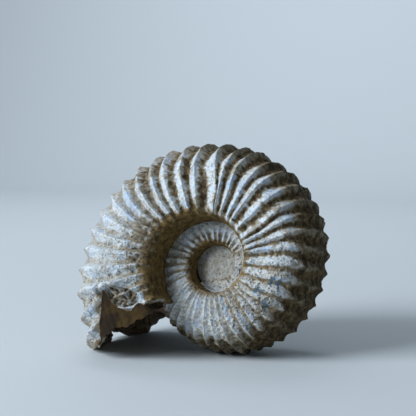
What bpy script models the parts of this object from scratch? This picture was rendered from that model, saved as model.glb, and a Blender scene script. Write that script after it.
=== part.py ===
"""Ammonite fossil: one coiled, ribbed stone shell that stands on edge, leaning back on its broken mouth.

The shell is a strip of section columns swept round a coil that grows by a fixed ratio every turn. The seam of
the last turn is welded row by row to the flank of the turn inside it, the worn middle is closed by a plug on
each side, and the mouth is closed by a hollow. Lengths are metres, angles are degrees, +Z is up.
"""

import math

import bmesh
import bpy
from mathutils import Matrix, Vector

# Coil
CREST_RADIUS = 0.0861  # coil centre to the rib crests, straight above the centre
TURN_GROWTH = 2.08  # ratio of any size to the same size one turn earlier
END_ANGLE = 228.0  # where the seam of the last turn ends, from +X towards +Z

# Whorl section, as shares of the crest radius at the same angle
CENTRE_SHARE = 0.635  # radius at which the whorl is widest
HALF_WIDTH_SHARE = 0.541
UMBILICAL_DROP_SHARE = 0.309  # from the widest radius in to the foot of the umbilical wall
WALL_SQUARENESS = 6.0  # exponent of the rounded shoulder
WELD_ANGLE = 81.0  # section angle, from the venter, that the next turn covers from
SEAM_TURN = 64.7  # section angle, from the widest point, at which the wall meets the turn inside
OUTER_STEPS = 5
WALL_STEPS = 4
MIDDLE_SHARE = 0.60  # radius of the middle line that grooves and hollow are drawn towards
MIDDLE_HALF_SPAN_SHARE = 0.30

# Ribs
RIBS_PER_TURN = 40
ROWS_PER_RIB = 3
RIB_RELIEF_SHARE = 0.046
RIB_FADE_START = 0.50  # share of the crest radius where the ribs begin to fade
RIB_FADE_END = 0.36  # and where the umbilical wall is smooth

# Plug that fills the middle of the coil on both sides
PLUG_DEPTH = 0.0100  # distance of the plug face from the middle plane
PLUG_SPAN = 120.0  # angle over which the inner turn rises out of the plug

# Broken mouth: (place across the strip from the near seam 0 to the far seam 1, angle the edge reaches)
MOUTH_EDGE = (
    (0.00, 228.0),
    (0.05, 228.0),
    (0.10, 224.0),
    (0.20, 210.0),
    (0.28, 200.0),
    (0.35, 214.0),
    (0.45, 217.5),
    (0.57, 208.0),
    (0.65, 216.5),
    (0.74, 209.0),
    (1.00, 228.0),
)
MOUTH_BLEND = 45.0  # angle over which the rows turn from square to the broken edge
HOLLOW_RINGS = ((0.90, 1.5), (0.80, 14.0), (0.55, 24.0))  # (size of the ring, angle behind the edge)

# Stance
LEAN = 14.85  # the coil leans back, away from -Y
GROUND_DROP = 0.0586  # coil centre to the worn flats it stands on

ROWS_PER_TURN = RIBS_PER_TURN * ROWS_PER_RIB
ROW_ANGLE = 360.0 / ROWS_PER_TURN
WELD_COLUMN = OUTER_STEPS
SEAM_COLUMN = OUTER_STEPS + 1 + WALL_STEPS
STONE_COLOUR = (0.42, 0.40, 0.36, 1.0)
SHARP_ANGLE = 40.0


def clear_objects():
    """Empty the scene of the objects it opened with."""
    for existing in list(bpy.data.objects):
        bpy.data.objects.remove(existing, do_unlink=True)


def crest_radius(angle):
    """Radius of the rib crests at an angle round the coil."""
    return CREST_RADIUS * TURN_GROWTH ** ((angle - 90.0) / 360.0)


def section_point(column):
    """Radius and half width of one column of the section, as shares of the crest radius."""
    if column <= WELD_COLUMN:
        turn = math.radians(WELD_ANGLE * column / OUTER_STEPS)
        radius = CENTRE_SHARE + (1.0 - CENTRE_SHARE) * math.cos(turn)
        return radius, HALF_WIDTH_SHARE * math.sin(turn)
    turn = math.radians(SEAM_TURN * (column - WELD_COLUMN - 1) / WALL_STEPS)
    down = math.sin(turn)
    out = math.cos(turn)
    size = (down**WALL_SQUARENESS + out**WALL_SQUARENESS) ** (1.0 / WALL_SQUARENESS)
    return CENTRE_SHARE - UMBILICAL_DROP_SHARE * down / size, HALF_WIDTH_SHARE * out / size


def shrink(radius, width, factor):
    """Section point drawn towards the middle line of the whorl, 1 leaving it where it is."""
    middle = min(width, MIDDLE_HALF_SPAN_SHARE)
    return (
        MIDDLE_SHARE + (radius - MIDDLE_SHARE) * factor,
        middle + (width - middle) * factor,
    )


def ribbed_point(column, row, relief_share=RIB_RELIEF_SHARE):
    """Section point with the groove between two ribs cut into it, ribs fading on the wall."""
    radius, width = section_point(column)
    if row % ROWS_PER_RIB == 0:
        return radius, width
    fade = (radius - RIB_FADE_END) / (RIB_FADE_START - RIB_FADE_END)
    relief = relief_share * min(1.0, max(0.0, fade))
    reach = math.hypot(radius - MIDDLE_SHARE, width - min(width, MIDDLE_HALF_SPAN_SHARE))
    return shrink(radius, width, 1.0 - relief / reach)


def place(angle, radius, width, side):
    """Point in space from an angle round the coil and a section point; side -1 is the near flank."""
    size = crest_radius(angle)
    turn = math.radians(angle)
    return Vector(
        (size * radius * math.cos(turn), side * size * width, size * radius * math.sin(turn))
    )


def mouth_angle(across):
    """Angle the broken edge reaches at a place across the strip."""
    for (low, low_angle), (high, high_angle) in zip(MOUTH_EDGE, MOUTH_EDGE[1:]):
        if across <= high:
            return low_angle + (high_angle - low_angle) * (across - low) / (high - low)
    return MOUTH_EDGE[-1][1]


def last_point(row, column, side):
    """Angle and section point of the last turn, its rows closing up towards the broken edge."""
    angle = END_ANGLE - 360.0 + row * ROW_ANGLE
    start = END_ANGLE - MOUTH_BLEND
    if angle <= start:
        return angle, *ribbed_point(column, row)
    across = 0.5 + 0.5 * side * column / SEAM_COLUMN
    stretch = (mouth_angle(across) - start) / MOUTH_BLEND
    return start + (angle - start) * stretch, *ribbed_point(column, row, RIB_RELIEF_SHARE * stretch)


def inner_point(row, column, side):
    """Point of the inner turn, which rises out of the plug where it begins."""
    angle = END_ANGLE - 720.0 + row * ROW_ANGLE
    radius, width = ribbed_point(column, row)
    rise = min(1.0, row * ROW_ANGLE / PLUG_SPAN)
    if column > WELD_COLUMN:
        plug = PLUG_DEPTH / crest_radius(angle)
        width = plug + (width - plug) * rise
    return place(angle, radius, width, side)


def build_inner_turn(bm, side):
    """Grid of points of the inner turn on one side, from the weld column in to its seam."""
    grid = []
    for row in range(ROWS_PER_TURN + 1):
        grid.append(
            {
                column: bm.verts.new(inner_point(row, column, side))
                for column in range(WELD_COLUMN, SEAM_COLUMN + 1)
                if row < ROWS_PER_TURN or column < SEAM_COLUMN
            }
        )
    grid[-1][SEAM_COLUMN] = grid[0][WELD_COLUMN]
    return grid


def build_last_turn(bm, inner):
    """Rows of the last turn, from the near seam over the venter to the far seam."""
    strip = []
    for row in range(ROWS_PER_TURN + 1):
        points = []
        for place_across in range(-SEAM_COLUMN, SEAM_COLUMN + 1):
            column = abs(place_across)
            side = -1 if place_across < 0 else 1
            if column == SEAM_COLUMN:
                points.append(inner[side][row][WELD_COLUMN])
            elif row == 0 and column >= WELD_COLUMN:
                points.append(inner[side][ROWS_PER_TURN][column])
            else:
                angle, radius, width = last_point(row, column, side)
                points.append(bm.verts.new(place(angle, radius, width, side)))
        strip.append(points)
    return strip


def skin_rows(bm, rows):
    """Faces between neighbouring rows of points."""
    for first, second in zip(rows, rows[1:]):
        for index in range(len(first) - 1):
            corners = (first[index], first[index + 1], second[index + 1], second[index])
            bm.faces.new(tuple(dict.fromkeys(corners)))


def build_plug(bm, grid, side):
    """Fan that closes the middle of the coil on one side."""
    seam = [points[SEAM_COLUMN] for points in grid]
    start = [grid[0][column] for column in range(WELD_COLUMN, SEAM_COLUMN + 1)]
    centre = bm.verts.new(Vector((0.0, side * PLUG_DEPTH, 0.0)))
    for first, second in zip(seam[:-1], seam[1:-1]):
        bm.faces.new((first, second, centre))
    for first, second in zip(start, start[1:]):
        bm.faces.new((seam[-2], first, second))
    bm.faces.new((seam[-2], start[-1], centre))


def build_mouth(bm, strip):
    """Hollow that closes the mouth, ring inside ring, down to a closing face."""
    edge = []
    for place_across in range(-SEAM_COLUMN, SEAM_COLUMN + 1):
        side = -1 if place_across < 0 else 1
        edge.append((*last_point(ROWS_PER_TURN, abs(place_across), side), side))
    for place_across in range(WELD_COLUMN - 1, -WELD_COLUMN, -1):
        side = -1 if place_across < 0 else 1
        radius, width = ribbed_point(abs(place_across), 0)
        edge.append((END_ANGLE, radius / TURN_GROWTH, width / TURN_GROWTH, side))
    venter = strip[0][SEAM_COLUMN - WELD_COLUMN + 1 : SEAM_COLUMN + WELD_COLUMN]
    previous = strip[-1] + venter[::-1]
    for factor, behind in HOLLOW_RINGS:
        ring = []
        for angle, radius, width, side in edge:
            inner_radius, inner_width = shrink(radius, width, factor)
            ring.append(bm.verts.new(place(angle - behind, inner_radius, inner_width, side)))
        skin_rows(bm, (previous + previous[:1], ring + ring[:1]))
        previous = ring
    bm.verts.index_update()
    edges = [bm.edges.get((a, b)) for a, b in zip(previous, previous[1:] + previous[:1])]
    bmesh.ops.triangle_fill(bm, use_beauty=True, use_dissolve=False, edges=edges)


def stand_and_flatten(bm):
    """Lean the coil back and wear it flat where it meets the ground."""
    lean = Matrix.Rotation(-math.radians(LEAN), 4, "X")
    bmesh.ops.transform(bm, matrix=lean, verts=bm.verts)
    geometry = list(bm.verts) + list(bm.edges) + list(bm.faces)
    cut = bmesh.ops.bisect_plane(
        bm,
        geom=geometry,
        dist=1e-6,
        plane_co=(0.0, 0.0, -GROUND_DROP),
        plane_no=(0.0, 0.0, 1.0),
        clear_inner=True,
    )
    rim = [item for item in cut["geom_cut"] if isinstance(item, bmesh.types.BMEdge)]
    bmesh.ops.holes_fill(bm, edges=rim, sides=0)


def centre_on_ground(bm):
    """Move the shell so that its box stands on the origin, centred."""
    lows = [min(vert.co[axis] for vert in bm.verts) for axis in range(3)]
    highs = [max(vert.co[axis] for vert in bm.verts) for axis in range(3)]
    shift = Vector((-(lows[0] + highs[0]) / 2.0, -(lows[1] + highs[1]) / 2.0, -lows[2]))
    bmesh.ops.translate(bm, vec=shift, verts=bm.verts)


def stone_material():
    """Chalky limestone."""
    material = bpy.data.materials.new("fossil_limestone")
    material.use_nodes = True
    shader = material.node_tree.nodes["Principled BSDF"]
    shader.inputs["Base Color"].default_value = STONE_COLOUR
    shader.inputs["Roughness"].default_value = 0.85
    return material


def build_ammonite():
    """The whole shell as one closed body."""
    bm = bmesh.new()
    inner = {side: build_inner_turn(bm, side) for side in (-1, 1)}
    strip = build_last_turn(bm, inner)
    for side, grid in inner.items():
        columns = range(WELD_COLUMN, SEAM_COLUMN + 1)
        skin_rows(bm, [[points[column] for column in columns] for points in grid])
        build_plug(bm, grid, side)
    skin_rows(bm, strip)
    build_mouth(bm, strip)
    stand_and_flatten(bm)
    centre_on_ground(bm)
    bmesh.ops.triangulate(bm, faces=bm.faces)
    bmesh.ops.recalc_face_normals(bm, faces=bm.faces)
    mesh = bpy.data.meshes.new("ammonite_fossil")
    bm.to_mesh(mesh)
    bm.free()
    mesh.materials.append(stone_material())
    mesh.shade_smooth()
    mesh.set_sharp_from_angle(angle=math.radians(SHARP_ANGLE))
    shell = bpy.data.objects.new("ammonite_fossil", mesh)
    bpy.context.collection.objects.link(shell)
    return shell


clear_objects()
build_ammonite()
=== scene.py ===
"""Looks of a coiled, strongly ribbed ammonite fossil that stands on edge on its broken mouth.

The shell is one tube that grows by a fixed ratio every turn. One rib's length of it is drawn from a
circle, repeated round the coil, and then carved: ribs, wear, crust, pits and the broken edge of the mouth.
Lengths are metres and angles are degrees, counted from +X towards +Z round the coil's own axis.
"""

import logging
import math
from dataclasses import dataclass
from enum import Enum

import bpy
import numpy as np
from mathutils import Matrix, Vector, noise


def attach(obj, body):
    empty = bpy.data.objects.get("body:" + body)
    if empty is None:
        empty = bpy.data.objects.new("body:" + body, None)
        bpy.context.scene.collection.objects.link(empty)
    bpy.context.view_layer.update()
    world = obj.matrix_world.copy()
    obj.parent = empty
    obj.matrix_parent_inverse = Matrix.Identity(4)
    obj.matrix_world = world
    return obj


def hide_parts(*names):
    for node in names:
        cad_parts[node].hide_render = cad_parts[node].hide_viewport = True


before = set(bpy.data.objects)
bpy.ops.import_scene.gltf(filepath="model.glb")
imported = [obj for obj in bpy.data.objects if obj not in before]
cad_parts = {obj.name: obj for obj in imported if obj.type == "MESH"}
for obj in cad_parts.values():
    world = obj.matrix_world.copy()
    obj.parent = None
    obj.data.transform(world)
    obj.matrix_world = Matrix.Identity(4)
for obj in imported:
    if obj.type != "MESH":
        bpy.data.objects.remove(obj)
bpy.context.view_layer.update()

BODY = "root"
NODE = "ammonite_fossil"
MM = 0.001
CREASE = math.radians(50.0)  # edges sharper than this stay sharp in the shading
PLUG_DEPTH = 0.0098  # from the middle plane to the face of the rock that fills the coil's middle
LOG = logging.getLogger("ammonite")

Piece = bpy.types.Object
Tree = bpy.types.NodeTree
Socket = bpy.types.NodeSocket
Pair = tuple[float, float]
Pairs = tuple[Pair, ...]


class Side(Enum):
    """Flank of the coil, by the sign of its place along Y."""

    NEAR = -1
    FAR = 1


def smooth(low: float, high: float, value: np.ndarray) -> np.ndarray:
    """Smooth step from 0 to 1 between two values.

    Args:
        low: Value at which the step leaves 0.
        high: Value at which it reaches 1; it may be below low, for a step that falls.
        value: Values to step.

    Returns:
        The stepped values.
    """
    share = np.clip((value - low) / (high - low), 0.0, 1.0)
    return share * share * (3.0 - 2.0 * share)


def bump_at(centre: float, reach: float, value: np.ndarray) -> np.ndarray:
    """Round bump that is 1 at a centre and fades to 0 at a reach on both sides."""
    return 1.0 - smooth(0.0, reach, np.abs(value - centre))


def lumps(points: np.ndarray, size: float, octaves: int = 3, seed: float = 0.0) -> np.ndarray:
    """Fractal noise whose largest lumps have a given size.

    Args:
        points: Places, one row each.
        size: Size of the largest lumps.
        octaves: How many times the lumps are halved and added.
        seed: Shift that makes another field of the same kind.

    Returns:
        One value for each place, about -1 to 1.
    """
    places = points / size + seed
    return np.array([noise.fractal(place, 1.0, 2.0, octaves) for place in places.tolist()])


@dataclass(frozen=True)
class Coil:
    """The spiral that every part of the shell follows, and how it stands.

    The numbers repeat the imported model's, so that the fine shell lies where the plain one does.
    """

    crest_radius: float = 0.0861
    growth: float = 2.08
    plug_angle: float = -492.0
    end_angle: float = 228.0
    lean: float = 14.85
    centre: tuple[float, float, float] = (0.01599, 0.00317, 0.0586)

    def radius(self, angle: np.ndarray) -> np.ndarray:
        """Radius of the rib crests at an angle."""
        return self.crest_radius * self.growth ** ((angle - 90.0) / 360.0)

    def angle(self, radius: np.ndarray) -> np.ndarray:
        """Angle at which the rib crests have a radius."""
        return 90.0 + 360.0 * np.log(radius / self.crest_radius) / math.log(self.growth)

    def place(self, angle: np.ndarray, share: np.ndarray, width: np.ndarray) -> np.ndarray:
        """Points from angles and section shares.

        Args:
            angle: Angle round the coil.
            share: Distance from the axis, as a share of the crest radius.
            width: Signed distance from the middle plane, as a share of the crest radius.

        Returns:
            One row for each point, before the coil leans.
        """
        size = self.radius(angle)
        turn = np.radians(angle)
        columns = (size * share * np.cos(turn), size * width, size * share * np.sin(turn))
        return np.stack(columns, axis=1)

    def stand(self) -> Matrix:
        """Lean and move that stand the coil on the ground."""
        return Matrix.Translation(self.centre) @ Matrix.Rotation(-math.radians(self.lean), 4, "X")


@dataclass(frozen=True)
class Section:
    """Outline of the tube, in shares of the crest radius.

    A place on it is a number: 0 on the venter, 1 where the whorl is widest, 2 at the seam with the turn
    inside, and 3 in the middle of the hidden back; it is negative on the near side.
    """

    centre_share: float = 0.635
    half_width: float = 0.541
    umbilical_drop: float = 0.309
    squareness: float = 6.0
    seam_turn: float = 64.7
    back_depth: float = 0.80
    back_turn: float = 84.0
    middle_share: float = 0.60
    middle_half_span: float = 0.30
    outer_columns: int = 76
    wall_columns: int = 50
    back_columns: int = 10

    def columns(self) -> np.ndarray:
        """Places of the columns, once round the section.

        Returns:
            Places from the venter round the far side to the near side, in order.
        """
        outer = np.linspace(0.0, 1.0, self.outer_columns, endpoint=False)
        wall = np.linspace(1.0, 2.0, self.wall_columns, endpoint=False)
        back = np.linspace(2.0, 3.0, self.back_columns, endpoint=False)
        half = np.concatenate((outer, wall, back))
        return np.concatenate((half, [3.0], -half[:0:-1]))

    def shares(self, across: np.ndarray, growth: float) -> tuple[np.ndarray, np.ndarray]:
        """Radius and signed width at places on the section.

        Args:
            across: Places on the section.
            growth: Ratio of one turn to the turn inside it, which the hidden back follows.

        Returns:
            Radius shares and signed width shares.
        """
        reach = np.abs(across)
        turn = np.radians(90.0 * np.clip(reach, 0.0, 1.0))
        share = self.centre_share + (1.0 - self.centre_share) * np.cos(turn)
        width = self.half_width * np.sin(turn)
        turn = np.radians(self.seam_turn * np.clip(reach - 1.0, 0.0, 1.0))
        power = self.squareness
        size = (np.sin(turn) ** power + np.cos(turn) ** power) ** (1.0 / power)
        wall = reach > 1.0
        share = np.where(wall, self.centre_share - self.umbilical_drop * np.sin(turn) / size, share)
        width = np.where(wall, self.half_width * np.cos(turn) / size, width)
        turn = np.radians(self.back_turn * np.clip(3.0 - reach, 0.0, 1.0))
        back_share = (self.centre_share + (1.0 - self.centre_share) * np.cos(turn)) / growth
        back_width = self.half_width * np.sin(turn) / growth
        back_share, back_width = self.shrink(back_share, back_width, self.back_depth, growth)
        back = reach > 2.0
        share = np.where(back, back_share, share)
        width = np.where(back, back_width, width)
        return share, width * np.sign(across)

    def shrink(
        self, share: np.ndarray, width: np.ndarray, factor: np.ndarray, growth: float = 1.0
    ) -> tuple[np.ndarray, np.ndarray]:
        """Section points drawn towards the middle line of the whorl.

        Args:
            share: Radius shares.
            width: Unsigned or signed width shares.
            factor: 1 leaves a point where it is, 0 brings it to the middle line.
            growth: 1 for the whorl itself, the growth of a turn for the whorl inside it.

        Returns:
            The new radius and width shares.
        """
        reach = np.abs(width)
        middle = np.minimum(reach, self.middle_half_span / growth)
        middle_share = self.middle_share / growth
        new_share = middle_share + (share - middle_share) * factor
        return new_share, (middle + (reach - middle) * factor) * np.where(width < 0.0, -1.0, 1.0)


@dataclass(frozen=True)
class Ribs:
    """Where the rib crests lie and how they are shaped.

    The stray and the slant are read rib by rib from the mouth inwards: how many degrees a crest lies ahead
    of even spacing on the venter, and how many more at the umbilical shoulder, where two ribs near the top
    join into one.
    """

    first_angle: float = 207.0
    pitch: float = 9.0
    relief_share: float = 0.046
    stray: tuple[float, ...] = (
        0, -1, -2, -2, -2, -2, -2, -1, -1, -1, 1, 0, 1, 1, 1, 3, 2, 3, 2, 2, 3, 3, 2, 1, 0, -1, -1, -2,
        -3, -2,
    )
    slant: tuple[float, ...] = (
        3, 3, 3, 2, 3, 3, 4, 5, 6, 6, 5, 3, 1, -8, -1, -2, -1, 0, -2, -6, -4, -3, 1, -1, -3, -6, -5, 0, 3,
        1, -4,
    )
    inner_from: float = -136.0
    inner_spread: float = 1.28  # the inner turn's ribs stand this much further apart
    fade_start: float = 0.420  # share of the crest radius where a rib begins to fade towards the seam
    fade_end: float = 0.335
    spare: int = 3  # crests added past both ends, so that every place lies between two
    seed: int = 7

    def crests(self) -> tuple[np.ndarray, np.ndarray, np.ndarray]:
        """Angles, slants and strengths of all crests, from past the mouth to past the plug.

        Returns:
            Angle, slant and strength of each crest.
        """
        count = 2 * self.spare + int((self.first_angle - COIL.plug_angle) / self.pitch)
        index = np.arange(-self.spare, count - self.spare)
        random = np.random.default_rng(self.seed)
        angle = self.first_angle - self.pitch * index + random.uniform(-0.7, 0.7, count)
        slant = random.uniform(-2.5, 1.0, count)
        strength = random.uniform(0.86, 1.1, count)
        for number, value in enumerate(self.stray):
            angle[number + self.spare] = self.first_angle - self.pitch * number + value
        for number, value in enumerate(self.slant):
            slant[number + self.spare] = value
        inner = angle < self.inner_from
        angle[inner] = self.inner_from + (angle[inner] - self.inner_from) * self.inner_spread
        return angle, slant, strength

    def phase(self, angle: np.ndarray, reach: np.ndarray) -> tuple[np.ndarray, np.ndarray, np.ndarray]:
        """Place between two crests.

        Args:
            angle: Angles round the coil.
            reach: Unsigned places on the section.

        Returns:
            The place from 0 on one crest to 1 on the next, the strength of the rib, and the room between
            the two crests as a share of the pitch.
        """
        crest, slant, strength = self.crests()
        lean = smooth(0.40, 1.35, reach)
        phase = np.zeros_like(angle)
        power = np.ones_like(angle)
        room = np.ones_like(angle)
        for low in range(len(crest) - 1):
            ahead = crest[low] + slant[low] * lean
            behind = crest[low + 1] + slant[low + 1] * lean
            here = (angle <= ahead) & (angle > behind)
            share = (ahead - angle) / (ahead - behind)
            phase = np.where(here, share, phase)
            power = np.where(here, strength[low] * (1.0 - share) + strength[low + 1] * share, power)
            room = np.where(here, (ahead - behind) / self.pitch, room)
        return phase, power, room


@dataclass(frozen=True)
class Mouth:
    """Broken edge of the last turn and the hollow behind it.

    The edges are read from the venter to the seam: place on the section, angle the edge reaches.
    """

    near_edge: Pairs = (
        (0.00, 217.0), (0.20, 217.2), (0.35, 218.5), (0.50, 221.0), (0.61, 223.2), (0.70, 223.0),
        (0.78, 218.8), (0.83, 214.9), (0.88, 210.8), (0.91, 206.4), (0.94, 201.8), (0.97, 202.2),
        (1.02, 205.2), (1.08, 209.0), (1.14, 213.0), (1.21, 217.0), (1.30, 220.5), (1.39, 222.5),
        (1.48, 222.0), (1.55, 222.0), (1.60, 226.0), (1.68, 228.5), (2.00, 229.0), (3.00, 229.0),
    )
    far_edge: Pairs = (
        (0.00, 217.0), (0.10, 213.0), (0.20, 209.0), (0.27, 209.0), (0.36, 211.0), (0.47, 212.6),
        (0.58, 212.4), (0.68, 210.0), (0.80, 206.5), (1.00, 207.0), (1.30, 215.0), (1.70, 225.0),
        (2.00, 229.0), (3.00, 229.0),
    )
    blend: float = 45.0  # degrees over which the plain end is drawn to the broken edge
    jag: float = 1.28  # degrees that the edge strays, finer than the points above
    # Steps inwards from the edge. Elsewhere: how far a ring is drawn to the middle line, degrees behind the
    # edge. Near flank: the same draw, share of the way to the floor's own edge, degrees behind.
    lip: tuple[tuple[float, ...], ...] = (
        (1.000, 0.0, 1.000, 0.00, 0.0), (0.985, -0.3, 0.985, 0.00, -0.3),
        (0.965, -0.1, 0.960, 0.00, -0.1), (0.940, 0.3, 0.930, 0.00, 0.3), (0.915, 0.8, 0.900, 0.00, 0.6),
        (0.890, 1.5, 0.878, 0.04, 0.2), (0.860, 2.6, 0.866, 0.20, 0.16), (0.830, 4.0, 0.860, 0.40, 0.12),
        (0.790, 5.6, 0.860, 0.60, 0.08), (0.745, 7.3, 0.866, 0.80, 0.04), (0.690, 9.0, 0.876, 1.00, 0.0),
        (0.620, 10.7, 0.850, 1.00, 0.7), (0.540, 12.2, 0.780, 1.00, 2.5), (0.450, 13.4, 0.620, 1.00, 6.5),
        (0.340, 14.2, 0.380, 1.00, 11.0),
    )
    floor_edge: Pairs = (
        (0.38, 219.3), (0.61, 221.5), (0.79, 223.2), (0.94, 224.4), (1.07, 226.6), (1.22, 229.4),
        (1.37, 231.4), (1.54, 234.0), (1.66, 235.5), (1.80, 235.0), (2.00, 229.0),
    )
    rings: int = 28
    # Half-moon patch: its middle angle and reach round the coil, its middle place and reach across it.
    moon: tuple[float, float, float, float] = (212.0, 9.0, 1.27, 0.27)
    # Angle round the coil, place on the section from which the flank is broken off as a flat facet.
    facet: Pairs = (
        (200.0, 0.82), (204.0, 0.78), (208.5, 0.76), (212.8, 0.73), (216.9, 0.70), (220.3, 0.65),
        (224.0, 0.60),
    )

    def angle(self, across: np.ndarray) -> np.ndarray:
        """Angle that the broken edge reaches at places on the section.

        Args:
            across: Places on the section.

        Returns:
            The angle for each place.
        """
        near_places, near_angles = np.array(self.near_edge).T
        far_places, far_angles = np.array(self.far_edge).T
        reach = np.abs(across)
        near = np.interp(reach, near_places, near_angles)
        far = np.interp(reach, far_places, far_angles)
        stray = np.array([noise.fractal((place * 9.0, 3.7, 0.0), 0.8, 2.1, 4) for place in across.tolist()])
        return np.where(across < 0.0, near, far) + self.jag * stray * smooth(2.1, 1.6, reach)

    def inward(
        self, across: np.ndarray, ring: np.ndarray, edge: np.ndarray
    ) -> tuple[np.ndarray, np.ndarray, np.ndarray]:
        """Course of the rings that line the hollow.

        On the near flank they step in behind the edge and run forward as a shallow floor before they turn
        back; elsewhere they turn back at once.

        Args:
            across: Places on the section.
            ring: Number of each vertex's ring, 0 on the shell itself.
            edge: Angle that the broken edge reaches there.

        Returns:
            How far the ring is drawn towards the middle line, how many degrees it lies ahead of the edge, and
            where the shallow floor is.
        """
        table = np.array(self.lip).T
        row = ring * (table.shape[1] - 1) / self.rings
        lip, behind, floor, run, floor_behind = (np.interp(row, np.arange(len(line)), line) for line in table)
        reach = np.abs(across)
        near = (across < 0.0) * smooth(0.52, 0.64, reach) * smooth(1.98, 1.85, reach)
        broken = 0.6 * np.sin(17.0 * reach) + 0.4 * np.sin(43.0 * reach + 1.0) + 0.15 * np.sin(121.0 * reach)
        ahead = np.maximum(np.interp(reach, *np.array(self.floor_edge).T) + broken - edge, 0.0) * run
        return lip + (floor - lip) * near, (ahead - floor_behind) * near - behind * (1.0 - near), near


@dataclass(frozen=True)
class Zones:
    """Stretches of the coil that wear, crust and darker colour treat in their own ways.

    A patch is a middle and how far it fades on both sides, and a rise is where a zone begins and where it is
    whole, both as angles round the coil. The last three are rises in places across the section.
    """

    right_patch: Pair = (-32.0, 62.0)
    left_patch: Pair = (180.0, 30.0)
    crusty_patch: Pair = (176.0, 36.0)
    shoulder_dark_patch: Pair = (168.0, 42.0)
    faint_wall_patch: Pair = (-62.0, 75.0)
    ribbed_inner_patch: Pair = (-172.0, 52.0)
    dull_venter_patch: Pair = (-30.0, 75.0)
    top_patch: Pair = (98.0, 55.0)
    ridge_patch: Pair = (48.0, 46.0)
    below_rise: Pair = (-45.0, -75.0)
    last_turn_rise: Pair = (-140.0, -130.0)
    inner_rise: Pair = (-130.0, -150.0)
    first_turn_rise: Pair = (-300.0, -350.0)
    deep_rise: Pair = (100.0, 150.0)
    pale_rise: Pair = (112.0, 160.0)
    pale_venter_rise: Pair = (92.0, 128.0)
    mouth_rise: Pair = (190.0, 201.0)
    flat_far_rise: Pair = (188.0, 200.0)
    facet_rise: Pair = (200.5, 203.0)
    across_venter: Pair = (0.66, 0.36)
    across_flank: Pair = (0.45, 0.75)
    across_wall: Pair = (1.56, 1.78)


@dataclass(frozen=True)
class Relief:
    """Sizes and heights of the carving in millimetres."""

    big_size: float = 16.0
    medium_size: float = 5.0
    fine_size: float = 2.2
    streak_size: float = 1.0
    swell: float = 0.65
    lump: float = 0.40
    grit: float = 0.40
    crust_grit: float = 0.50
    streak: float = 0.28
    pit: float = 0.40
    crust_pit: float = 0.85
    moon_depth: float = 2.2
    moon_grit: float = 1.3
    moon_rim: float = 1.0
    facet_depth: float = 2.6
    facet_grit: float = 1.3
    facet_lump: float = 0.9


STAINS = (  # angle, place on the section, reach round it
    (-2.4, 1.56, 0.06), (1.5, 1.47, 0.05), (-13.5, 0.88, 0.10), (-14.5, 0.76, 0.09), (-25.1, 1.10, 0.11),
    (-25.1, 0.98, 0.08), (-30.4, 0.82, 0.09), (-33.0, 0.74, 0.08), (-81.2, 0.96, 0.07), (-60.0, 1.25, 0.06),
)

COIL = Coil()
SECTION = Section()
RIBS = Ribs()
MOUTH = Mouth()
ZONES = Zones()
RELIEF = Relief()


def deselect() -> None:
    """Leave nothing selected, so that an operator acts only on what is picked next."""
    if bpy.context.mode != "OBJECT":
        bpy.ops.object.mode_set(mode="OBJECT")
    bpy.ops.object.select_all(action="DESELECT")


def activate(piece: Piece) -> None:
    """Select one piece alone and make it the active one."""
    deselect()
    bpy.context.view_layer.objects.active = piece
    piece.select_set(True)


def edit(piece: Piece) -> None:
    """Open one piece in edit mode with all of it selected.

    Args:
        piece: Piece to open.
    """
    activate(piece)
    bpy.ops.object.mode_set(mode="EDIT")
    bpy.ops.mesh.select_all(action="SELECT")


def edit_select(piece: Piece) -> None:
    """Open a piece in edit mode with the edges between its picked vertices selected.

    Args:
        piece: Piece to open.
    """
    activate(piece)
    picked = np.zeros(len(piece.data.vertices), bool)
    piece.data.vertices.foreach_get("select", picked)
    ends = np.zeros(len(piece.data.edges) * 2, int)
    piece.data.edges.foreach_get("vertices", ends)
    piece.data.edges.foreach_set("select", picked[ends].reshape(-1, 2).all(axis=1))
    piece.data.polygons.foreach_set("select", np.zeros(len(piece.data.polygons), bool))
    bpy.ops.object.mode_set(mode="EDIT")
    bpy.ops.mesh.select_mode(type="VERT")


def read_places(piece: Piece) -> np.ndarray:
    """Places of a piece's vertices, one row each.

    Args:
        piece: Piece to read.

    Returns:
        Places in metres.
    """
    places = np.zeros(len(piece.data.vertices) * 3)
    piece.data.vertices.foreach_get("co", places)
    return places.reshape(-1, 3)


def write_places(piece: Piece, places: np.ndarray) -> None:
    """Move a piece's vertices to new places."""
    piece.data.vertices.foreach_set("co", places.ravel())
    piece.data.update()


def read_values(piece: Piece, name: str) -> np.ndarray:
    """Values of a piece's vertex attribute.

    Args:
        piece: Piece to read.
        name: Name of the attribute.

    Returns:
        One value for each vertex.
    """
    values = np.zeros(len(piece.data.vertices))
    piece.data.attributes[name].data.foreach_get("value", values)
    return values


def write_values(piece: Piece, name: str, values: np.ndarray) -> None:
    """Store values as a piece's vertex attribute."""
    found = piece.data.attributes.get(name) or piece.data.attributes.new(name, "FLOAT", "POINT")
    found.data.foreach_set("value", values.astype(np.float32))


def finish_piece(piece: Piece, material: bpy.types.Material) -> None:
    """Dress a finished piece and hand it to the frame.

    Args:
        piece: Piece whose mesh is done.
        material: Its finish.
    """
    piece.data.materials.clear()
    piece.data.materials.append(material)
    activate(piece)
    bpy.ops.object.shade_smooth_by_angle(angle=CREASE)
    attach(piece, BODY)
    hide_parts(NODE)
    LOG.info("%s: %d faces", piece.name, len(piece.data.polygons))


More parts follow.
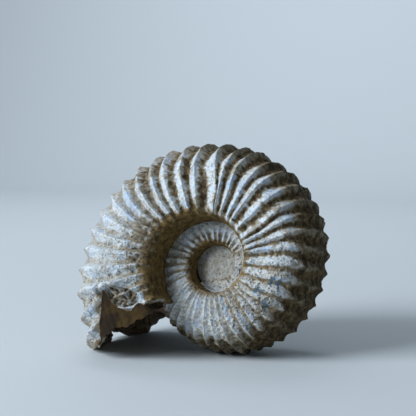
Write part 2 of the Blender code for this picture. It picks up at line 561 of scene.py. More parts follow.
@dataclass
class Whorl:
    """A length of the coiled tube, from one angle to another, closed at both ends."""

    name: str
    start: float
    ribs: int
    rows_per_rib: int
    has_mouth: bool = False
    rises_from_plug: bool = False
    weld: float = 0.00002  # vertices of neighbouring sectors closer than this become one
    pick: float = 0.05  # degrees round an end within which its vertices are picked

    def sector(self) -> Piece:
        """One rib's length of plain tube: a circle shaped to the section, then drawn out along the coil.

        Returns:
            The open length of tube, before the coil stands.
        """
        deselect()
        columns = SECTION.columns()
        bpy.ops.mesh.primitive_circle_add(vertices=len(columns), radius=float(COIL.radius(self.start)))
        piece = bpy.context.object
        piece.name = piece.data.name = self.name
        share, width = SECTION.shares(columns, COIL.growth)
        write_places(piece, COIL.place(np.full(len(columns), self.start), share, width))
        write_values(piece, "across", columns)
        step = RIBS.pitch / self.rows_per_rib
        axis = (0.0, 0.0, 0.0)
        edit(piece)
        for _ in range(self.rows_per_rib):
            bpy.ops.mesh.extrude_region_move()
            bpy.ops.transform.rotate(
                value=math.radians(step), orient_axis="Y", orient_type="GLOBAL", center_override=axis
            )
            bpy.ops.transform.resize(value=(COIL.growth ** (step / 360.0),) * 3, center_override=axis)
        bpy.ops.object.mode_set(mode="OBJECT")
        return piece

    def repeat(self, piece: Piece) -> None:
        """Repeat the sector round the coil, each copy turned and grown by one rib.

        Args:
            piece: Sector to repeat.
        """
        guide = bpy.data.objects.new("rib_step", None)
        bpy.context.scene.collection.objects.link(guide)
        guide.rotation_euler = (0.0, -math.radians(RIBS.pitch), 0.0)
        guide.scale = (COIL.growth ** (RIBS.pitch / 360.0),) * 3
        bpy.context.view_layer.update()
        turn = piece.modifiers.new("turn", "ARRAY")
        turn.use_relative_offset = False
        turn.use_object_offset = True
        turn.offset_object = guide
        turn.count = self.ribs
        turn.use_merge_vertices = True
        turn.merge_threshold = self.weld
        bpy.ops.object.modifier_apply(modifier="turn")
        bpy.data.objects.remove(guide)

    def close(self, piece: Piece) -> None:
        """Close the ends: the start with a flat cap, the mouth with the rings of its hollow.

        Args:
            piece: Open length of tube.
        """
        angle = COIL.angle(
            np.hypot(*read_places(piece)[:, (0, 2)].T)
            / SECTION.shares(read_values(piece, "across"), COIL.growth)[0]
        )
        write_values(piece, "angle", angle)
        write_values(piece, "ring", np.zeros(len(angle)))
        end = self.start + self.ribs * RIBS.pitch
        for edge_angle in (self.start, end):
            edit(piece)
            bpy.ops.mesh.select_all(action="DESELECT")
            bpy.ops.object.mode_set(mode="OBJECT")
            picked = np.abs(read_values(piece, "angle") - edge_angle) < self.pick
            picked &= read_values(piece, "ring") == 0.0
            piece.data.vertices.foreach_set("select", picked)
            edit_select(piece)
            if self.has_mouth and edge_angle == end:
                for ring in range(1, MOUTH.rings + 1):
                    bpy.ops.mesh.extrude_edges_move()
                    bpy.ops.object.mode_set(mode="OBJECT")
                    values = read_values(piece, "ring")
                    picked = np.zeros(len(values), bool)
                    piece.data.vertices.foreach_get("select", picked)
                    values[picked] = ring
                    write_values(piece, "ring", values)
                    edit_select(piece)
            bpy.ops.mesh.edge_face_add()
            bpy.ops.mesh.quads_convert_to_tris()
            bpy.ops.object.mode_set(mode="OBJECT")

    def build(self) -> Piece:
        """Whole piece, carved, standing and closed.

        Returns:
            The piece, in its place.
        """
        piece = self.sector()
        self.repeat(piece)
        self.close(piece)
        Carving(self).apply(piece)
        edit(piece)
        bpy.ops.mesh.normals_make_consistent(inside=False)
        bpy.ops.object.mode_set(mode="OBJECT")
        piece.data.transform(COIL.stand())
        places = read_places(piece)
        places[:, 2] = np.maximum(places[:, 2], 0.0)
        write_places(piece, places)
        return piece


@dataclass
class Surface:
    """Every vertex of a length of tube: where it is on the shell and the fields that shape it there."""

    angle: np.ndarray
    across: np.ndarray
    ring: np.ndarray

    def __post_init__(self) -> None:
        """Work out the fields from the places."""
        self.reach = np.abs(self.across)
        self.share, self.width = SECTION.shares(self.across, COIL.growth)
        self.size = COIL.radius(self.angle)
        plain = COIL.place(self.angle, self.share, self.width)
        self.phase, self.strength, self.room = RIBS.phase(self.angle, self.reach)
        self.big = lumps(plain, RELIEF.big_size * MM, 3, 1.3)
        self.medium = lumps(plain, RELIEF.medium_size * MM, 3, 7.1)
        self.fine = lumps(plain, RELIEF.fine_size * MM, 4, 4.4)
        along = self.size * np.radians(self.angle)
        aside = self.size * self.reach * np.sign(self.across)
        streaked = np.stack((along / 1.6, aside / 9.0, self.across), axis=1)
        self.streak = lumps(streaked, RELIEF.streak_size * MM, 3, 2.2)
        self.near = self.across < 0.0
        self.inner = smooth(*ZONES.inner_rise, self.angle)
        self.start_turn = smooth(*ZONES.first_turn_rise, self.angle)
        self.below = smooth(*ZONES.below_rise, self.angle)
        self.plain = self.inner * (1.0 - 0.75 * bump_at(*ZONES.ribbed_inner_patch, self.angle))
        rough_edge = 0.10 * self.medium + 0.10 * self.fine + 0.06 * self.big
        self.wall = smooth(*ZONES.across_wall, self.reach + rough_edge)
        self.wall *= 1.0 - 0.85 * bump_at(*ZONES.faint_wall_patch, self.angle) * self.near
        self.venter = smooth(*ZONES.across_venter, self.reach + 0.12 * self.medium + 0.06 * self.fine)
        self.moon, self.rim = self.half_moon()
        begins = np.interp(self.angle, *np.array(MOUTH.facet).T)
        self.facet = smooth(0.0, 0.09, self.reach - begins) * smooth(1.02, 0.96, self.reach) * self.near
        self.facet *= smooth(*ZONES.facet_rise, self.angle)
        self.stain = self.stains()
        self.shoulder_dark = bump_at(*ZONES.shoulder_dark_patch, self.angle) * bump_at(1.52, 0.34, self.reach) * self.near
        self.wear()
        self.crusts()

    def wear(self) -> None:
        """How worn the ribs are, and how deep their grooves stay."""
        last = smooth(*ZONES.last_turn_rise, self.angle)
        self.right = bump_at(*ZONES.right_patch, self.angle) * smooth(0.50, 0.70, self.reach) * last
        worn = smooth(0.1, 0.7, self.medium + self.big) * 0.25 + 0.55 * self.right
        left = bump_at(*ZONES.left_patch, self.angle) * bump_at(1.30, 0.35, self.reach)
        self.worn = np.clip(worn + 0.25 * left, 0.0, 0.75)
        flank = smooth(*ZONES.across_flank, self.reach)
        self.deeper = flank * smooth(*ZONES.deep_rise, self.angle)
        narrow = flank * (1.0 - 0.95 * self.below)
        wave = np.sin(np.pi * self.phase ** (1.0 - 0.22 * flank))
        self.groove = wave ** (0.95 + 0.55 * narrow + 1.2 * self.right)
        # The chalk's cover is skewed: pale on the slope of each rib that faces the mouth, dark on the steep
        # slope behind each crest. At the top of the coil these are the lit and the shaded slopes, so besides
        # the real chalk of the crests this is painted light and painted shade.
        skewed = np.sin(np.pi * self.phase ** (1.0 - 0.42 * flank))
        self.cover = skewed ** (0.95 + 1.35 * narrow + 1.6 * self.right + 0.3 * self.inner)
        self.flaked = smooth(0.10, 0.50, self.big + 0.5 * self.medium + 0.3 * self.fine)
        self.fade = smooth(RIBS.fade_end, RIBS.fade_start, self.share) * smooth(2.02, 1.9, self.reach)
        self.fade *= 1.0 - 0.85 * self.start_turn
        self.fade *= 1.0 - 0.7 * self.plain * smooth(1.40, 1.05, self.reach)
        self.fade *= 1.0 - 0.75 * smooth(*ZONES.flat_far_rise, self.angle) * smooth(0.25, 0.6, self.across)

    def crusts(self) -> None:
        """Where a rough crust sits on the ribs, and the pits in it."""
        flank = bump_at(*ZONES.crusty_patch, self.angle) * bump_at(1.35, 0.42, self.reach) * self.near
        mouth = smooth(*ZONES.mouth_rise, self.angle) * smooth(1.70, 1.45, self.reach)
        inner = 0.55 * self.inner * smooth(1.35, 1.0, self.reach)
        crust = 1.3 * flank + mouth + 0.9 * self.right + self.start_turn + self.facet + 0.6 * inner
        self.crust = np.clip(crust, 0.0, 1.0) * (self.reach < 2.0) * smooth(-0.45, 0.1, self.medium)
        self.crust = np.maximum(self.crust, self.facet)
        self.pits = smooth(0.15, 0.45, self.fine - 0.3 * self.medium) * (0.3 + 0.7 * self.crust)

    def stains(self) -> np.ndarray:
        """Blue-green stains that minerals left in a few places on the near flank.

        Returns:
            Strength of the stain, 0 to 1.
        """
        depth = np.zeros_like(self.angle)
        for angle, reach, extent in STAINS:
            along = (self.angle - angle) * 0.0115  # degrees turned to the section's measure
            apart = np.hypot(along, self.reach - reach) + 0.03 * self.fine
            depth = np.maximum(depth, bump_at(0.0, extent, apart))
        return depth * self.near

    def half_moon(self) -> tuple[np.ndarray, np.ndarray]:
        """Broken patch on the near flank by the mouth: its sunken floor and its raised rim.

        Returns:
            Masks of the floor and of the rim.
        """
        middle_angle, span, middle_place, extent = MOUTH.moon
        along = (self.angle - middle_angle) / span
        aside = (self.reach - middle_place) / extent
        length = (along + aside) / math.sqrt(2.0) + 0.1
        breadth = (aside - along) / math.sqrt(2.0) - 0.1
        apart = np.hypot(length / 1.45, breadth / 0.68)
        floor = smooth(1.0, 0.84, apart) * self.near
        rim = bump_at(1.10, 0.16, apart) * smooth(0.5, 0.1, breadth) * self.near
        spur = bump_at(1.60, 0.035, self.reach) * bump_at(222.5, 5.0, self.angle) * self.near
        return floor, np.maximum(rim, spur)

    def height(self) -> np.ndarray:
        """How far each vertex stands out from the plain tube.

        Returns:
            Heights in metres, below 0 where it is carved in.
        """
        depth = RIBS.relief_share * self.size * self.strength * np.minimum(1.0, self.room)
        depth *= 1.0 + 0.35 * np.clip(self.big, -1.0, 0.6) * smooth(0.5, 0.8, self.reach)
        relief = depth * self.fade * (1.0 - 0.6 * self.worn) * self.groove * (1.0 + 0.12 * self.deeper)
        rough = 1.0 - 0.75 * self.wall
        swell = RELIEF.swell * self.big + RELIEF.lump * self.medium * rough
        grit = (RELIEF.grit + RELIEF.crust_grit * self.crust) * self.fine * rough * (1.0 - 0.5 * self.venter)
        grit += RELIEF.streak * self.streak * rough
        pits = (RELIEF.pit + RELIEF.crust_pit * self.crust) * self.pits * rough
        patch = self.moon * (RELIEF.moon_grit * self.fine - RELIEF.moon_depth) + RELIEF.moon_rim * self.rim
        broken = RELIEF.facet_grit * self.fine + RELIEF.facet_lump * self.medium
        patch += self.facet * (broken - RELIEF.facet_depth)
        return ((swell + grit - pits + patch) * MM - relief) * smooth(2.35, 2.0, self.reach)

    def chalk(self) -> np.ndarray:
        """How much pale chalk shows, from bare groove 0 to clean crest 1, with painted light and painted
        shade mixed in.

        Returns:
            The chalk for each vertex.
        """
        edge = self.cover + 0.24 * self.medium + 0.20 * self.fine + 0.18 * self.big
        crest = smooth(1.10, 0.40, edge) * (1.0 - 0.5 * self.pits)
        crest *= 1.0 - 0.45 * self.flaked * (1.0 - 0.6 * self.right)
        # Grooves on the left and below are nearly as pale as the crests.
        left = smooth(*ZONES.pale_rise, self.angle)
        ground = (0.80 - 0.22 * self.groove) * left + 0.66 * self.below * (1.0 - self.inner)
        # On the inner whorl the outer half is chalk-pale where its ribs are faint, and the whole inner whorl
        # is a further 0.26 paler: painted light where the last whorl shades it.
        ground += self.plain * 0.90 * smooth(1.44, 1.20, self.reach) + 0.26 * self.inner
        crest = np.maximum(crest, ground + 0.25 * self.fine)
        # The venter keeps its chalk on the left. It is paler at the top, partly chalk and partly painted
        # light, and darker on the right, partly bare of chalk and partly painted shade.
        dark_venter = bump_at(*ZONES.dull_venter_patch, self.angle)
        top = bump_at(*ZONES.top_patch, self.angle)
        tips = smooth(*ZONES.pale_venter_rise, self.angle)
        over = np.clip(0.26 + 0.75 * tips + 0.20 * top - 0.22 * dark_venter + 0.40 * self.big, 0.0, 0.97)
        crest *= 1.0 - self.venter * (1.0 - over)
        crest = np.maximum(crest, (0.44 * self.worn + 0.26 * self.crust) * (1.0 - self.venter))
        crest *= (1.0 - 0.30 * self.right) * np.maximum(self.fade, 0.6 * smooth(2.0, 1.6, self.reach))
        crest = np.maximum(crest, 0.62 * self.start_turn)
        # Darker in patches along the umbilical shoulder on the left.
        crest -= self.shoulder_dark * (0.35 + 0.6 * smooth(-0.2, 0.4, self.medium + 0.5 * self.fine))
        crest *= 1.0 - self.wall
        ridge = bump_at(1.66, 0.07, self.reach) * bump_at(*ZONES.ridge_patch, self.angle) * self.near
        speckled = 0.34 + 0.9 * self.fine
        crest += (speckled - crest) * self.moon
        crest += 0.8 * self.rim + 0.6 * ridge
        crest += self.facet * (0.34 + 0.9 * self.fine - crest)
        lip = smooth(0.5, 1.5, self.ring) * smooth(10.0, 7.0, self.ring) * smooth(-0.5, 0.2, self.medium)
        return np.clip(np.where(self.ring > 0.0, 0.6 * lip, crest), 0.0, 1.0)


@dataclass
class Carving:
    """Carves a plain length of tube into worn, crusted fossil, and keeps where each finish goes."""

    whorl: Whorl
    rise_turn: float = 125.0  # degrees over which the inner whorl comes up out of the plug

    def apply(self, piece: Piece) -> None:
        """Move every vertex of a piece to its carved place and store the masks of its finishes.

        Args:
            piece: Closed, plain length of tube.
        """
        across = read_values(piece, "across")
        angle = read_values(piece, "angle")
        ring = read_values(piece, "ring")
        if self.whorl.has_mouth:
            start = COIL.end_angle - MOUTH.blend
            edge = MOUTH.angle(across)
            stretch = (edge - start) / MOUTH.blend
            angle = np.where(angle > start, start + (angle - start) * stretch, angle)
        surface = Surface(angle, across, ring)
        out_share, out_width = self.outward(across)
        height = surface.height() / surface.size * (1.0 - 0.85 * smooth(3.0, 9.0, ring))
        share = surface.share + out_share * height
        width = surface.width + out_width * height
        hollow = np.zeros_like(ring)
        floor = np.zeros_like(ring)
        if self.whorl.has_mouth:
            factor, ahead, near = MOUTH.inward(across, ring, edge)
            share, width = SECTION.shrink(share, width, factor)
            angle = angle + ahead
            hollow = smooth(7.0, 10.0, ring)
            floor = near * smooth(7.0, 10.0, ring) * smooth(26.0, 21.0, ring)
            lining = COIL.place(angle, share, width)
            rough = lumps(lining, 3 * MM, 3, 5.0) * (1.1 - 0.7 * hollow)
            rough += 1.2 * lumps(lining, 14 * MM, 2, 9.0)
            rough *= smooth(0.0, 2.0, ring)
            share = share + out_share * rough * MM / surface.size
            width = width + out_width * rough * MM / surface.size
        if self.whorl.rises_from_plug:
            rise = np.clip((angle - COIL.plug_angle) / self.rise_turn, 0.0, 1.0) ** 1.5
            inside = smooth(0.9, 1.1, surface.reach)
            plug = PLUG_DEPTH / surface.size * np.where(width < 0.0, -1.0, 1.0)
            width = np.where(surface.reach < 2.0, width + (plug - width) * (1.0 - rise) * inside, width)
        write_places(piece, COIL.place(angle, share, width))
        masks = {
            "chalk": surface.chalk(),
            "crust": surface.crust * (1.0 - surface.moon) + 0.5 * surface.moon,
            "hollow": hollow,
            "floor": floor,
            # The pits mask marks the carved pits and the low spots of the half-moon's floor; the material
            # darkens them as painted shade.
            "pits": np.clip(surface.pits + surface.moon * smooth(0.2, -0.3, surface.fine), 0.0, 1.0),
            "venter": surface.venter,
            "wall": surface.wall,
            "stain": surface.stain,
            "ochre": surface.right,
        }
        for name, values in masks.items():
            write_values(piece, name, values)

    def outward(self, across: np.ndarray) -> tuple[np.ndarray, np.ndarray]:
        """Outward direction of the plain section, as shares of radius and width.

        Args:
            across: Places on the section.

        Returns:
            Radius part and width part of the direction.
        """
        step = 0.004
        ahead = SECTION.shares(across + step, COIL.growth)
        behind = SECTION.shares(across - step, COIL.growth)
        along_share = ahead[0] - behind[0]
        along_width = ahead[1] - behind[1]
        length = np.hypot(along_share, along_width) + 1e-9
        return along_width / length, -along_share / length


def linear(code: str) -> tuple[float, float, float, float]:
    """Linear colour with full alpha from an sRGB hex value.

    Args:
        code: Colour such as "#C6CFD5".

    Returns:
        Red, green, blue and alpha.
    """
    channels = [int(code[place : place + 2], 16) / 255.0 for place in (1, 3, 5)]
    straight = [c / 12.92 if c <= 0.04045 else ((c + 0.055) / 1.055) ** 2.4 for c in channels]
    return (*straight, 1.0)


def add(
    tree: Tree,
    kind: str,
    settings: dict[str | int, object] | None = None,
    links: dict[str | int, Socket] | None = None,
) -> bpy.types.Node:
    """Add one node to a material.

    Args:
        tree: Node tree to add it to.
        kind: Type name of the node.
        settings: Properties of the node by name, and values of its sockets by name or number.
        links: Sockets to link from, by the name or number of the input they go to.

    Returns:
        The new node.
    """
    node = tree.nodes.new(kind)
    for key, value in (settings or {}).items():
        if isinstance(key, int) or key in node.inputs and not hasattr(node, key):
            node.inputs[key].default_value = value
        else:
            setattr(node, key, value)
    for key, socket in (links or {}).items():
        tree.links.new(socket, node.inputs[key])
    return node


@dataclass(frozen=True)
class Patterns:
    """Masks and colours of one material's node tree, placed on the piece's own coordinates."""

    tree: Tree
    where: Socket

    def pattern(self, size: float, detail: float, rough: float) -> Socket:
        """Noise whose largest grains have a size in millimetres."""
        settings = {"Scale": 1.0 / (size * MM), "Detail": detail, "Roughness": rough}
        return add(self.tree, "ShaderNodeTexNoise", settings, {"Vector": self.where}).outputs["Fac"]

    def step(self, value: Socket, low: float, high: float) -> Socket:
        """Clamped smooth step of a value; it falls where low is above high.

        Args:
            value: Values to step.
            low: Value at which the step leaves 0.
            high: Value at which it reaches 1.

        Returns:
            The stepped mask.
        """
        rising = low < high
        settings = {"interpolation_type": "SMOOTHSTEP", 1: min(low, high), 2: max(low, high)}
        settings |= {3: 0.0 if rising else 1.0, 4: 1.0 if rising else 0.0}
        return add(self.tree, "ShaderNodeMapRange", settings, {0: value}).outputs[0]

    def mix(self, share: Socket, first: Socket | str, second: Socket | str) -> Socket:
        """Mix of two colours, each a socket or an sRGB hex value.

        Args:
            share: Share of the second colour.
            first: Colour where the share is 0.
            second: Colour where it is 1.

        Returns:
            The mixed colour.
        """
        node = add(self.tree, "ShaderNodeMix", {"data_type": "RGBA"}, {"Factor": share})
        for socket, value in ((node.inputs[6], first), (node.inputs[7], second)):
            if isinstance(value, str):
                socket.default_value = linear(value)
            else:
                self.tree.links.new(value, socket)
        return node.outputs[2]

    def times(self, value: Socket, by: float) -> Socket:
        """Product of a mask and a number."""
        return add(self.tree, "ShaderNodeMath", {"operation": "MULTIPLY", 1: by}, {0: value}).outputs[0]

    def product(self, first: Socket, second: Socket) -> Socket:
        """Product of two masks."""
        return add(self.tree, "ShaderNodeMath", {"operation": "MULTIPLY"}, {0: first, 1: second}).outputs[0]

    def total(self, first: Socket, second: Socket) -> Socket:
        """Sum of two values."""
        return add(self.tree, "ShaderNodeMath", {"operation": "ADD"}, {0: first, 1: second}).outputs[0]

    def centred(self, value: Socket, by: float) -> Socket:
        """Noise moved to lie round 0 and made as wide as given."""
        settings = {"operation": "MULTIPLY_ADD", 1: by, 2: -0.5 * by}
        return add(self.tree, "ShaderNodeMath", settings, {0: value}).outputs[0]


@dataclass(frozen=True)
class FossilLimestone:
    """Weathered limestone cast of a shell, dug out and brushed, neither polished nor waxed.

    It looks chalk-pale where shell remains on the crests, brown with iron-stained clay in the grooves, grey
    where crust clings, and darkest on the floor of the hollow. The chalk's pattern and the hollow's paler
    lining also hold painted light and painted shade. Open pores leave it no gloss, only grain and dirt.
    """

    name: str = "limestone_fossil_weathered"
    chalk: str = "#C6CFD5"
    chalk_cool: str = "#AEBFD2"
    chalk_warm: str = "#B7AA97"
    dusty: str = "#928A79"
    groove: str = "#635035"
    groove_dark: str = "#32281A"
    crust: str = "#8E897D"
    hollow: str = "#8C7A66"
    hollow_dark: str = "#524029"
    floor: str = "#3A2C14"
    floor_dark: str = "#231A10"
    venter: str = "#6A5A3E"
    wall: str = "#786238"
    wall_dark: str = "#46371F"
    tip: str = "#A8967F"
    stain: str = "#3D6076"
    ochre: str = "#8A6B35"
    roughness: float = 0.9
    ior: float = 1.5  # calcite, about
    gloss: float = 0.18  # pores swallow most of what a smooth face would reflect
    grain_size: float = 0.8  # mm; the rock's grit is 0.1 to 0.3 mm, drawn as coarse as it needs to show
    speck_size: float = 1.5  # mm; dark specks of clay caught in pores
    blotch_size: float = 4.0  # mm; flakes of shell and clay, about half a groove wide
    cloud_size: float = 14.0  # mm; stains that spread over one or two ribs
    grain_depth: float = 0.4  # mm
    speck_depth: float = 0.7  # mm
    blotch_depth: float = 1.2  # mm

    def build(self) -> bpy.types.Material:
        """Material with its patterns sized from the real surface.

        Returns:
            The new material.
        """
        material = bpy.data.materials.new(self.name)
        material.use_nodes = True
        tree = material.node_tree
        shader = tree.nodes["Principled BSDF"]
        make = Patterns(tree, add(tree, "ShaderNodeTexCoord").outputs["Object"])
        mask = {
            name: add(tree, "ShaderNodeAttribute", {"attribute_name": name}).outputs["Fac"]
            for name in ("chalk", "crust", "floor", "hollow", "ochre", "pits", "stain", "venter", "wall")
        }
        grain = make.pattern(self.grain_size, 3.0, 0.70)
        speck = make.pattern(self.speck_size, 2.0, 0.60)
        blotch = make.pattern(self.blotch_size, 5.0, 0.65)
        cloud = make.pattern(self.cloud_size, 3.0, 0.55)
        # Chalk, cool in clouds and warm in flakes, with browner tips on the venter.
        tint = make.mix(make.step(cloud, 0.46, 0.64), self.chalk, self.chalk_cool)
        warm = make.product(make.step(blotch, 0.46, 0.60), make.step(speck, 0.40, 0.60))
        tint = make.mix(warm, tint, self.chalk_warm)
        tint = make.mix(make.times(mask["venter"], 0.7), tint, self.tip)
        # Ground under the chalk: clay in the grooves, on the wall and on the venter, then crust and ochre.
        ground = make.mix(make.step(blotch, 0.35, 0.62), self.groove_dark, self.groove)
        wall = make.mix(make.step(blotch, 0.34, 0.60), self.wall_dark, self.wall)
        ground = make.mix(mask["wall"], ground, wall)
        venter = make.mix(make.step(blotch, 0.36, 0.66), self.groove_dark, self.venter)
        ground = make.mix(mask["venter"], ground, venter)
        ground = make.mix(make.times(mask["crust"], 0.7), ground, self.crust)
        ochre = make.product(make.step(cloud, 0.56, 0.44), make.times(mask["ochre"], 0.8))
        ground = make.mix(ochre, ground, self.ochre)
        # Chalk over the ground, dusty where it is thin.
        level = make.total(mask["chalk"], make.centred(blotch, 0.75))
        level = make.total(level, make.centred(grain, 0.55))
        colour = make.mix(make.step(level, 0.04, 0.50), ground, self.dusty)
        colour = make.mix(make.step(level, 0.38, 0.88), colour, tint)
        # Specks, pits, mineral stains and the hollow over all of it.
        dots = make.step(speck, 0.56, 0.66)
        dots = make.product(dots, make.step(mask["crust"], -0.9, 1.0))
        colour = make.mix(make.times(dots, 0.75), colour, self.groove_dark)
        # Carved pits and the half-moon's low spots take the groove's dark colour: painted shade in the
        # recesses.
        colour = make.mix(make.times(mask["pits"], 0.6), colour, self.groove_dark)
        stained = make.step(make.total(mask["stain"], make.centred(speck, 1.8)), 0.40, 0.80)
        colour = make.mix(make.times(stained, 0.75), colour, self.stain)
        # The hollow's deeper lining is painted paler than the ground around it: painted light standing in for
        # light bounced into the hollow. The floor on the near side keeps its own dark brown.
        hollow = make.mix(make.step(blotch, 0.36, 0.60), self.hollow_dark, self.hollow)
        floor = make.mix(make.step(cloud, 0.40, 0.62), self.floor_dark, self.floor)
        hollow = make.mix(mask["floor"], hollow, floor)
        colour = make.mix(mask["hollow"], colour, hollow)
        tree.links.new(colour, shader.inputs["Base Color"])
        shader.inputs["Roughness"].default_value = self.roughness
        shader.inputs["IOR"].default_value = self.ior
        shader.inputs["Specular IOR Level"].default_value = self.gloss
        layers = (
            (blotch, 1.0, self.blotch_depth), (speck, 1.0, self.speck_depth), (grain, 0.9, self.grain_depth),
        )
        links = {}
        for height, strength, depth in layers:
            settings = {"Strength": strength, "Distance": depth * MM}
            links["Height"] = height
            links["Normal"] = add(tree, "ShaderNodeBump", settings, links).outputs[0]
        tree.links.new(links["Normal"], shader.inputs["Normal"])
        return material


@dataclass
class Plug:
    """Pale rock that fills the middle of the coil on one side."""

    side: Side
    radius: float = 0.0175
    depth: float = PLUG_DEPTH
    thickness: float = 0.004
    crown: float = 0.0006
    corners: int = 120
    rings: int = 22
    grit: float = 0.35  # mm

    def build(self) -> Piece:
        """Thick disc with a slightly crowned, rough face.

        Returns:
            The piece, in its place.
        """
        deselect()
        sign = self.side.value
        bpy.ops.mesh.primitive_circle_add(
            vertices=self.corners,
            radius=self.radius,
            location=(0.0, sign * (self.depth - self.thickness), 0.0),
            rotation=(math.radians(90.0), 0.0, 0.0),
        )
        piece = bpy.context.object
        piece.name = piece.data.name = f"umbilical_plug_{self.side.name.lower()}"
        bpy.ops.object.transform_apply(location=True, rotation=True, scale=True)
        edit(piece)
        bpy.ops.mesh.edge_face_add()
        bpy.ops.mesh.select_all(action="SELECT")
        bpy.ops.mesh.extrude_region_move(TRANSFORM_OT_translate={"value": (0.0, sign * self.thickness, 0.0)})
        for _ in range(self.rings):
            bpy.ops.mesh.inset(thickness=self.radius / (self.rings + 1), depth=0.0)
        bpy.ops.mesh.select_all(action="SELECT")
        bpy.ops.mesh.normals_make_consistent(inside=False)
        bpy.ops.object.mode_set(mode="OBJECT")
        places = read_places(piece)
        out = np.hypot(places[:, 0], places[:, 2]) / self.radius
        front = np.abs(places[:, 1]) > self.depth - 0.5 * self.thickness
        rough = self.crown * (1.0 - out**2) + self.grit * MM * lumps(places, 6 * MM, 4, 2.0)
        places[:, 1] += sign * rough * front
        write_places(piece, places)
        rim = smooth(0.55, 1.0, out)
        write_values(piece, "chalk", 0.58 - 0.06 * rim)
        write_values(piece, "crust", 0.30 + 0.30 * rim)
        write_values(piece, "stain", 0.22 * (1.0 - rim))
        piece.data.transform(COIL.stand())
        return piece


@dataclass(frozen=True)
class PaintedBoard:
    """Chipboard with matt emulsion, rolled on: even and pale, with a faint broad sheen."""

    name: str = "painted_board_matt"
    colour: str = "#C4CBD0"
    roughness: float = 0.75

    def build(self) -> bpy.types.Material:
        """Plain material of the floor and backdrop.

        Returns:
            The new material.
        """
        material = bpy.data.materials.new(self.name)
        material.use_nodes = True
        shader = material.node_tree.nodes["Principled BSDF"]
        shader.inputs["Base Color"].default_value = linear(self.colour)
        shader.inputs["Roughness"].default_value = self.roughness
        return material


@dataclass(frozen=True)
class SoftLamp:
    """Square lamp, as wide as a window, that faces a target."""

    name: str
    place: tuple[float, float, float]
    target: tuple[float, float, float]
    size: float
    power: float
    colour: str = "#EAF1F8"

    def build(self) -> None:
        """Add the lamp to the scene."""
        lamp = bpy.data.lights.new(self.name, "AREA")
        lamp.size = self.size
        lamp.energy = self.power
        lamp.color = linear(self.colour)[:3]
        holder = bpy.data.objects.new(self.name, lamp)
        holder.location = self.place
        aim = Vector(self.target) - Vector(self.place)
        holder.rotation_euler = aim.to_track_quat("-Z", "Y").to_euler()
        bpy.context.scene.collection.objects.link(holder)


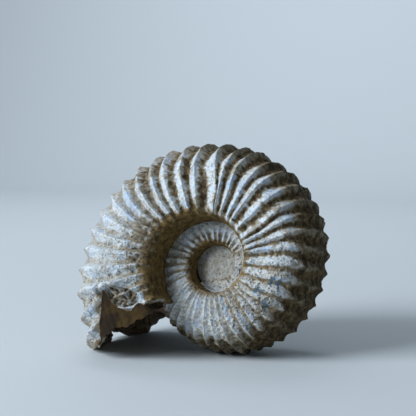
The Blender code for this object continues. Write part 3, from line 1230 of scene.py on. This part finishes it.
@dataclass
class Studio:
    """Pale floor, soft daylight from the left and the camera."""

    window: SoftLamp = SoftLamp("window", (-1.08, -1.27, 0.95), (0.0, 0.0, 0.07), size=1.0, power=54.0)
    wash: SoftLamp = SoftLamp("backdrop_wash", (-0.5, 0.75, 1.5), (0.0, 2.1, 0.5), size=1.2, power=16.0)
    room_colour: str = "#B3BEC5"
    room_strength: float = 0.42
    sight_angle: float = 21.6
    sight_height: float = 8.0
    distance: float = 0.78
    lens: float = 96.53
    sensor: float = 36.0
    off_left: float = 0.01605  # how far beside and above the coil's centre the camera aims, per metre away
    off_up: float = 0.05298
    floor_size: float = 12.0
    wall_height: float = 2.5
    bend_start: float = 1.3
    bend_radius: float = 0.8
    bend_steps: int = 16

    def floor(self) -> None:
        """Pale floor that curves up into a backdrop behind the fossil."""
        deselect()
        middle = (0.0, self.bend_start - self.floor_size / 2.0, 0.0)
        bpy.ops.mesh.primitive_plane_add(size=self.floor_size, location=middle)
        piece = bpy.context.object
        piece.name = piece.data.name = "floor"
        bpy.ops.object.transform_apply(location=True, rotation=True, scale=True)
        back = [vertex.co.y > self.bend_start - 0.01 for vertex in piece.data.vertices]
        piece.data.vertices.foreach_set("select", back)
        edit_select(piece)
        step = math.radians(90.0 / self.bend_steps)
        for _ in range(self.bend_steps):
            bpy.ops.mesh.extrude_edges_move()
            bpy.ops.transform.rotate(
                value=-step,
                orient_axis="X",
                orient_type="GLOBAL",
                center_override=(0.0, self.bend_start, self.bend_radius),
            )
        bpy.ops.mesh.extrude_edges_move(TRANSFORM_OT_translate={"value": (0.0, 0.0, self.wall_height)})
        bpy.ops.object.mode_set(mode="OBJECT")
        piece.data.shade_smooth()
        piece.data.materials.append(PaintedBoard().build())
        LOG.info("%s: %d faces", piece.name, len(piece.data.polygons))

    def light(self) -> None:
        """Large soft window light from the left, and a dim cool room."""
        world = bpy.data.worlds.new("cool_room")
        world.use_nodes = True
        background = world.node_tree.nodes["Background"]
        background.inputs["Color"].default_value = linear(self.room_colour)
        background.inputs["Strength"].default_value = self.room_strength
        bpy.context.scene.world = world
        bpy.context.scene.view_settings.view_transform = "Standard"
        self.window.build()
        self.wash.build()

    def camera(self) -> None:
        """Camera level with the shell, a little to its right and above."""
        turn, rise = math.radians(self.sight_angle), math.radians(self.sight_height)
        back = Vector((math.sin(turn) * math.cos(rise), -math.cos(turn) * math.cos(rise), math.sin(rise)))
        right = Vector((math.cos(turn), math.sin(turn), 0.0))
        up = Vector((-math.sin(turn) * math.sin(rise), math.cos(turn) * math.sin(rise), math.cos(rise)))
        centre = Vector(COIL.centre)
        data = bpy.data.cameras.new("camera")
        data.lens = self.lens
        data.sensor_width = self.sensor
        holder = bpy.data.objects.new("camera", data)
        holder.location = centre + back * self.distance
        aim = centre + (up * self.off_up - right * self.off_left) * self.distance
        holder.rotation_euler = (aim - holder.location).to_track_quat("-Z", "Y").to_euler()
        bpy.context.scene.collection.objects.link(holder)
        bpy.context.scene.camera = holder


def main() -> None:
    """Build and dress the fossil, then the studio."""
    logging.basicConfig(level=logging.INFO, format="%(name)s %(message)s")
    limestone = FossilLimestone().build()
    coarse, fine = 9, 22  # rows of faces to a rib, few enough for each piece to stay under 200,000 triangles
    whorls = (
        Whorl("whorl_inner", start=COIL.plug_angle, ribs=40, rows_per_rib=coarse, rises_from_plug=True),
        Whorl("whorl_last_first_third", start=-132.0, ribs=13, rows_per_rib=fine),
        Whorl("whorl_last_second_third", start=-15.0, ribs=13, rows_per_rib=fine),
        Whorl("whorl_last_body_chamber", start=102.0, ribs=14, rows_per_rib=fine, has_mouth=True),
    )
    for whorl in whorls:
        finish_piece(whorl.build(), limestone)
    for side in Side:
        finish_piece(Plug(side).build(), limestone)
    studio = Studio()
    studio.floor()
    studio.light()
    studio.camera()


if __name__ == "__main__":
    main()
